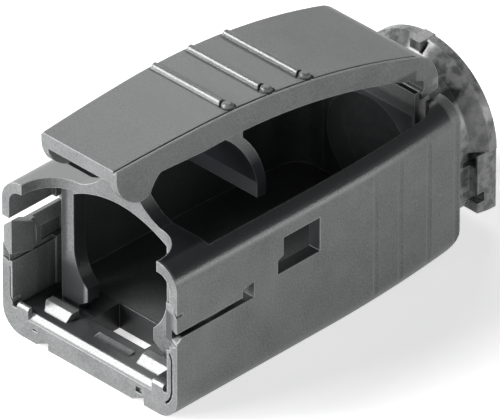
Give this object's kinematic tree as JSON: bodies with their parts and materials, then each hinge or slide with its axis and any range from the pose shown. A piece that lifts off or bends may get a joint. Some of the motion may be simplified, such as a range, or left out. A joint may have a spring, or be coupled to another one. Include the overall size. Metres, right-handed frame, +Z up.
{
  "type": "modular plug strain relief boot",
  "caption": "One-piece moulded boot that snaps over a modular plug, with a spring lever above an open-topped housing and a round cable neck.",
  "frame": {"origin": "centre of the bounding box in plan, on the underside that the boot stands on", "axes": "+Y from the plug opening towards the cable end, along the cable; +Z up, from the underside towards the lever; X across the boot"},
  "size_m": [0.014, 0.028, 0.0158],
  "materials": {
    "shell": "matte dark grey moulding with a fine grain, slightly glossier on the cable flange"
  },
  "bodies": {
    "root": {"boot": "shell"}
  },
  "joints": []
}
